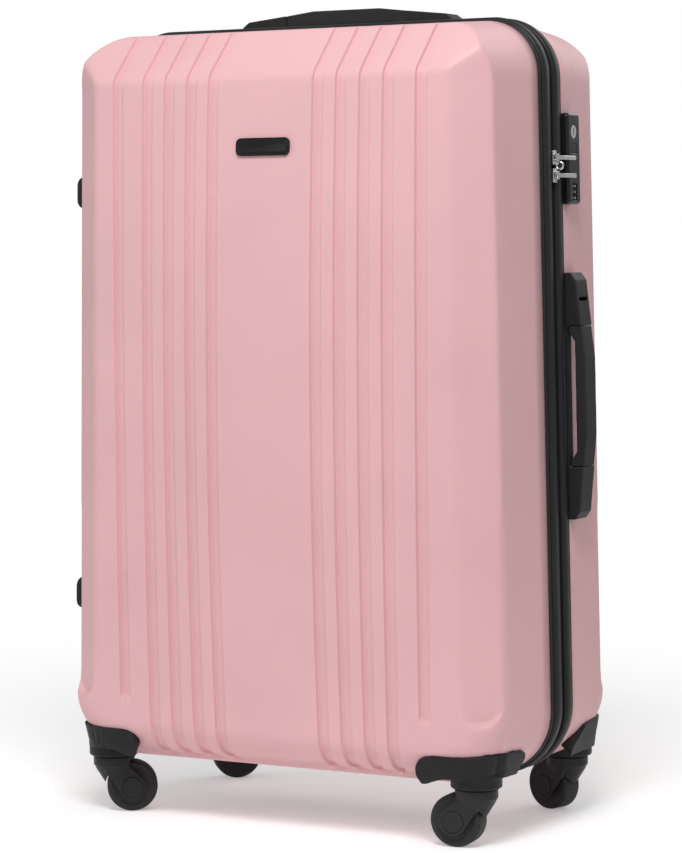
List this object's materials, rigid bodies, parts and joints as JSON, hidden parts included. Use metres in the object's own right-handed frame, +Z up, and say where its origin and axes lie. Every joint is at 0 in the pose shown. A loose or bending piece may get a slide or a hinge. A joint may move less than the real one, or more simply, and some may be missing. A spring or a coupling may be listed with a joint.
{
  "type": "hard shell suitcase on wheels",
  "caption": "Upright hard shell suitcase with a vertical-ribbed clamshell body, side-opening zip closure, combination lock, carry handles, telescopic trolley and swivelling casters.",
  "frame": {"origin": "on the floor under the middle of the bounding box, the case standing upright on its wheels", "axes": "+X to the right, towards the lock and side handle; +Y to the back; +Z up"},
  "size_m": [0.4949, 0.284, 0.7755],
  "materials": {
    "shell": "fine grain moulded ABS, satin",
    "black_plastic": "fine grain",
    "rubber": "matt",
    "tape": "woven tape",
    "lining": "woven polyester",
    "strap": "elastic webbing",
    "zip_metal": "polished",
    "steel": "zinc plated",
    "tube": "anodised",
    "wheel": "satin polyurethane",
    "lock_plastic": "gloss"
  },
  "bodies": {
    "rear_case": {"rear_shell": "shell", "rear_welt": "rubber", "rear_zip_tape": "tape", "fabric_hinge": "tape", "rear_lining": "lining", "packing_straps": "strap", "strap_buckle": "black_plastic", "rear_side_feet": "rubber", "rear_guard_right": "black_plastic", "rear_guard_left": "black_plastic", "rear_king_pins": "steel", "rear_guard_screws": "steel", "lock_body": "lock_plastic", "lock_spindle": "steel", "side_handle_base": "black_plastic", "top_handle_base": "black_plastic", "trolley_bezel": "black_plastic", "trolley_outer_tubes": "tube", "trolley_foot": "black_plastic"},
    "front_case": {"front_shell": "shell", "front_welt": "rubber", "front_zip_tape": "tape", "front_lining": "lining", "front_pocket": "lining", "name_plate": "black_plastic", "front_side_feet": "rubber", "front_guard_right": "black_plastic", "front_guard_left": "black_plastic", "front_king_pins": "steel", "front_guard_screws": "steel"},
    "slider_upper": {"zip_slider_upper": "zip_metal"},
    "pull_upper": {"zip_pull_upper": "zip_metal"},
    "slider_lower": {"zip_slider_lower": "zip_metal"},
    "pull_lower": {"zip_pull_lower": "zip_metal"},
    "dial_1": {"lock_dial_1": "lock_plastic"},
    "dial_2": {"lock_dial_2": "lock_plastic"},
    "dial_3": {"lock_dial_3": "lock_plastic"},
    "key": {"key_cylinder": "steel"},
    "button": {"lock_button": "lock_plastic"},
    "side_grip": {"side_handle_grip": "black_plastic"},
    "top_grip": {"top_handle_grip": "black_plastic"},
    "trolley_middle": {"trolley_middle_tubes": "tube"},
    "trolley_inner": {"trolley_inner_tubes": "tube", "trolley_grip": "black_plastic"},
    "trolley_release": {"trolley_button": "black_plastic"},
    "front_right_caster": {"front_right_fork": "black_plastic", "front_right_axle": "black_plastic"},
    "front_right_roller": {"front_right_wheel": "wheel"},
    "front_left_caster": {"front_left_fork": "black_plastic", "front_left_axle": "black_plastic"},
    "front_left_roller": {"front_left_wheel": "wheel"},
    "rear_right_caster": {"rear_right_fork": "black_plastic", "rear_right_axle": "black_plastic"},
    "rear_right_roller": {"rear_right_wheel": "wheel"},
    "rear_left_caster": {"rear_left_fork": "black_plastic", "rear_left_axle": "black_plastic"},
    "rear_left_roller": {"rear_left_wheel": "wheel"}
  },
  "joints": [
    {"name": "case_opening", "type": "hinge", "parent": "rear_case", "child": "front_case", "pos_m": [-0.25306, 0, 0.40575], "axis": [0, 0, -1], "range_deg": [0, 180]},
    {"name": "slider_upper_travel", "type": "slide", "parent": "rear_case", "child": "slider_upper", "axis": [-0.0189, 0, 0.9998], "range_m": [0, 0.05]},
    {"name": "slider_lower_travel", "type": "slide", "parent": "rear_case", "child": "slider_lower", "axis": [0.0189, 0, -0.9998], "range_m": [0, 0.08]},
    {"name": "pull_upper_swing", "type": "hinge", "parent": "slider_upper", "child": "pull_upper", "pos_m": [0.22896, 0, 0.62862], "axis": [0.0189, 0, -0.9998], "range_deg": [0, 160]},
    {"name": "pull_lower_swing", "type": "hinge", "parent": "slider_lower", "child": "pull_lower", "pos_m": [0.22927, 0, 0.61213], "axis": [0.0189, 0, -0.9998], "range_deg": [0, 160]},
    {"name": "dial_1_turn", "type": "hinge", "parent": "rear_case", "child": "dial_1", "pos_m": [0.22455, 0.03555, 0.60254], "axis": [-0.0189, 0, 0.9998], "continuous": true},
    {"name": "dial_2_turn", "type": "hinge", "parent": "rear_case", "child": "dial_2", "pos_m": [0.22466, 0.03555, 0.59704], "axis": [-0.0189, 0, 0.9998], "continuous": true},
    {"name": "dial_3_turn", "type": "hinge", "parent": "rear_case", "child": "dial_3", "pos_m": [0.22476, 0.03555, 0.59154], "axis": [-0.0189, 0, 0.9998], "continuous": true},
    {"name": "key_turn", "type": "hinge", "parent": "rear_case", "child": "key", "pos_m": [0.2219, 0.03555, 0.653], "axis": [0.9998, 0, 0.0189], "range_deg": [0, 90]},
    {"name": "lock_button_press", "type": "slide", "parent": "rear_case", "child": "button", "axis": [-0.9998, 0, -0.0189], "range_m": [0, 0.002], "stiffness_N_per_m": 300},
    {"name": "side_grip_lift", "type": "slide", "parent": "rear_case", "child": "side_grip", "axis": [0.9998, 0, 0.0189], "range_m": [0, 0.006], "stiffness_N_per_m": 900},
    {"name": "top_grip_lift", "type": "slide", "parent": "rear_case", "child": "top_grip", "axis": [0, 0, 1], "range_m": [0, 0.006], "stiffness_N_per_m": 900},
    {"name": "trolley_middle_slide", "type": "slide", "parent": "rear_case", "child": "trolley_middle", "axis": [0, 0, 1], "range_m": [0, 0.16]},
    {"name": "trolley_inner_slide", "type": "slide", "parent": "trolley_middle", "child": "trolley_inner", "axis": [0, 0, 1], "range_m": [0, 0.16]},
    {"name": "trolley_button_press", "type": "slide", "parent": "trolley_inner", "child": "trolley_release", "axis": [0, 0, -1], "range_m": [0, 0.0035], "stiffness_N_per_m": 400},
    {"name": "front_right_swivel", "type": "hinge", "parent": "front_case", "child": "front_right_caster", "pos_m": [0.19197, -0.0985, 0.0543], "axis": [0, 0, 1], "continuous": true},
    {"name": "front_right_roll", "type": "hinge", "parent": "front_right_caster", "child": "front_right_roller", "pos_m": [0.17457, -0.10033, 0.0245], "axis": [0.1045, -0.9945, 0], "continuous": true},
    {"name": "front_left_swivel", "type": "hinge", "parent": "front_case", "child": "front_left_caster", "pos_m": [-0.20303, -0.0985, 0.0543], "axis": [0, 0, 1], "continuous": true},
    {"name": "front_left_roll", "type": "hinge", "parent": "front_left_caster", "child": "front_left_roller", "pos_m": [-0.18852, -0.08871, 0.0245], "axis": [-0.5592, 0.829, 0], "continuous": true},
    {"name": "rear_right_swivel", "type": "hinge", "parent": "rear_case", "child": "rear_right_caster", "pos_m": [0.19197, 0.0985, 0.0543], "axis": [0, 0, 1], "continuous": true},
    {"name": "rear_right_roll", "type": "hinge", "parent": "rear_right_caster", "child": "rear_right_roller", "pos_m": [0.17524, 0.10362, 0.0245], "axis": [-0.2924, -0.9563, 0], "continuous": true},
    {"name": "rear_left_swivel", "type": "hinge", "parent": "rear_case", "child": "rear_left_caster", "pos_m": [-0.20303, 0.0985, 0.0543], "axis": [0, 0, 1], "continuous": true},
    {"name": "rear_left_roll", "type": "hinge", "parent": "rear_left_caster", "child": "rear_left_roller", "pos_m": [-0.18962, 0.10975, 0.0245], "axis": [-0.6428, 0.766, 0], "continuous": true}
  ]
}
